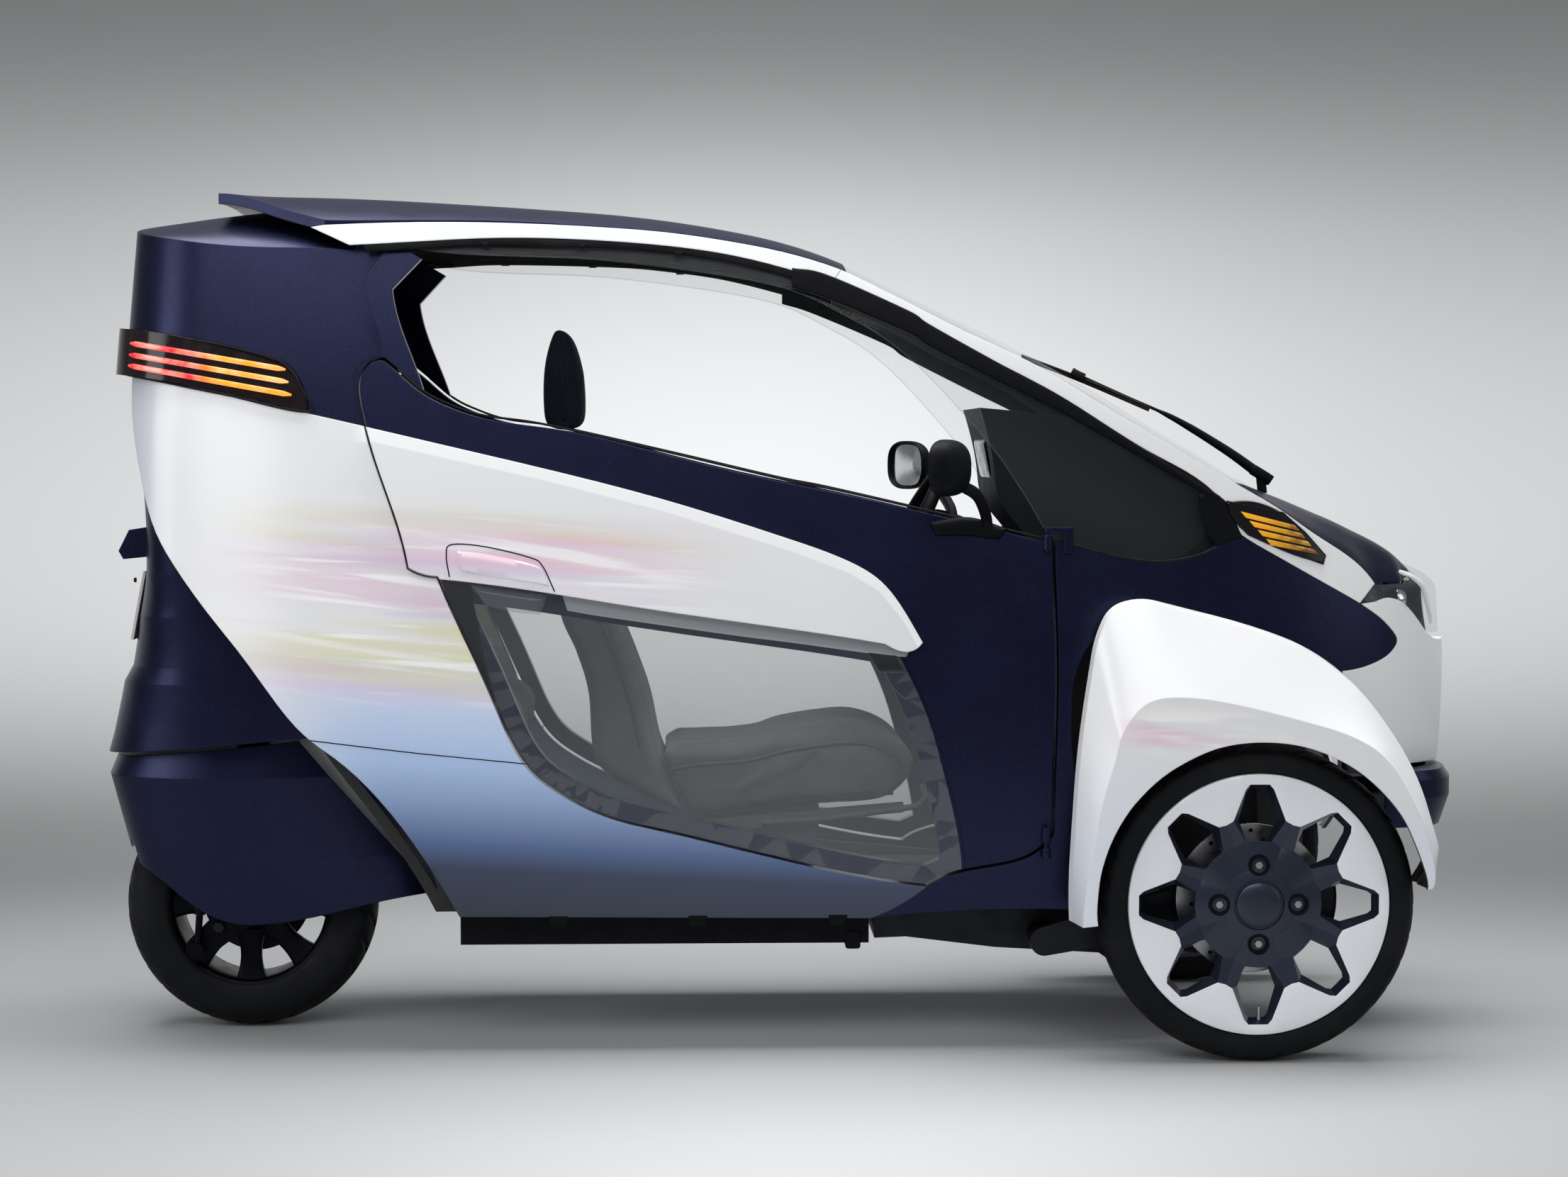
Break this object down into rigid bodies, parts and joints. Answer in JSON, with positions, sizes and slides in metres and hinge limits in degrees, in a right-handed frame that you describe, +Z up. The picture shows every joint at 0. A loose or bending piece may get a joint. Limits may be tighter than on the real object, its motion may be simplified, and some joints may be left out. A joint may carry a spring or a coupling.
{
  "type": "three wheeled car",
  "caption": "Narrow tandem electric three-wheeler with two covered front wheels, a steered rear wheel, clear-panelled doors, an open-sided cabin and a swept roof.",
  "frame": {"origin": "on the ground under the centre of the bounding box", "axes": "+X forwards, +Y to the car's left, +Z up; the pictured right side faces -Y"},
  "size_m": [2.35, 0.966, 1.445],
  "materials": {
    "white_paint": "satin pearl",
    "dark_paint": "satin metallic",
    "black_plastic": "matte",
    "grey_plastic": "matte",
    "clear_window": "clear",
    "tinted_glass": "grey tint",
    "clear_lamp": "clear",
    "smoked_lamp": "smoked",
    "seat_cloth": "woven",
    "headrest_cloth": "woven",
    "steel": "satin",
    "cast_metal": "cast",
    "wheel_paint": "satin",
    "plate": "plain",
    "tyre": "matte"
  },
  "bodies": {
    "body": {"floor_tub": "grey_plastic", "battery_box": "black_plastic", "rear_quarters": "white_paint", "rear_pod": "dark_paint", "tail_lamps": "smoked_lamp", "rear_panel": "dark_paint", "number_plate": "plate", "roof_panel": "dark_paint", "roof_rails": "white_paint", "front_pillars": "white_paint", "windscreen": "clear_window", "side_windows": "clear_window", "front_side_panels": "dark_paint", "nose_cap": "white_paint", "bonnet": "dark_paint", "headlamps": "clear_lamp", "turn_lamps": "clear_lamp", "lower_bumper": "dark_paint", "front_fenders": "white_paint", "suspension_arms": "cast_metal", "knuckles": "cast_metal", "front_seat_base": "seat_cloth", "front_seat_back": "seat_cloth", "front_headrest": "headrest_cloth", "seat_frame": "grey_plastic", "rear_seat": "seat_cloth", "dashboard": "grey_plastic", "wiper": "black_plastic", "rear_frame": "steel", "steering_column": "black_plastic"},
    "front_right_wheel": {"front_right_rim": "wheel_paint", "front_right_tyre": "tyre"},
    "front_left_wheel": {"front_left_rim": "wheel_paint", "front_left_tyre": "tyre"},
    "rear_steering": {"steer_fork": "cast_metal", "rear_damper": "steel", "rear_cover": "dark_paint"},
    "rear_wheel": {"rear_rim": "wheel_paint", "rear_tyre": "tyre"},
    "door_right": {"door_right_shell": "dark_paint", "door_right_glass": "tinted_glass", "door_right_band": "white_paint", "door_right_handle": "black_plastic", "door_right_mirror": "dark_paint"},
    "door_left": {"door_left_shell": "dark_paint", "door_left_glass": "tinted_glass", "door_left_band": "white_paint", "door_left_handle": "black_plastic", "door_left_mirror": "dark_paint"},
    "driver_wheel": {"steering_wheel": "black_plastic"}
  },
  "joints": [
    {"name": "front_right_spin", "type": "hinge", "parent": "body", "child": "front_right_wheel", "pos_m": [0.77, -0.35, 0.263], "axis": [0, 1, 0], "continuous": true},
    {"name": "front_left_spin", "type": "hinge", "parent": "body", "child": "front_left_wheel", "pos_m": [0.77, 0.35, 0.263], "axis": [0, 1, 0], "continuous": true},
    {"name": "rear_steer_turn", "type": "hinge", "parent": "body", "child": "rear_steering", "pos_m": [-0.93, 0, 0.5], "axis": [0, 0, 1], "range_deg": [-26, 26]},
    {"name": "rear_spin", "type": "hinge", "parent": "rear_steering", "child": "rear_wheel", "pos_m": [-0.93, 0, 0.218], "axis": [0, 1, 0], "continuous": true},
    {"name": "door_right_open", "type": "hinge", "parent": "body", "child": "door_right", "pos_m": [0.43, -0.308, 0.6], "axis": [0, 0, 1], "range_deg": [0, 60]},
    {"name": "door_left_open", "type": "hinge", "parent": "body", "child": "door_left", "pos_m": [0.43, 0.308, 0.6], "axis": [0, 0, -1], "range_deg": [0, 60]},
    {"name": "driver_wheel_turn", "type": "hinge", "parent": "body", "child": "driver_wheel", "pos_m": [0.215, 0, 0.85], "axis": [0.8829, 0, -0.4695], "range_deg": [-104, 104]}
  ],
  "couplings": [
    {"joint": "driver_wheel_turn", "follows": "rear_steer_turn", "ratio": 4}
  ]
}
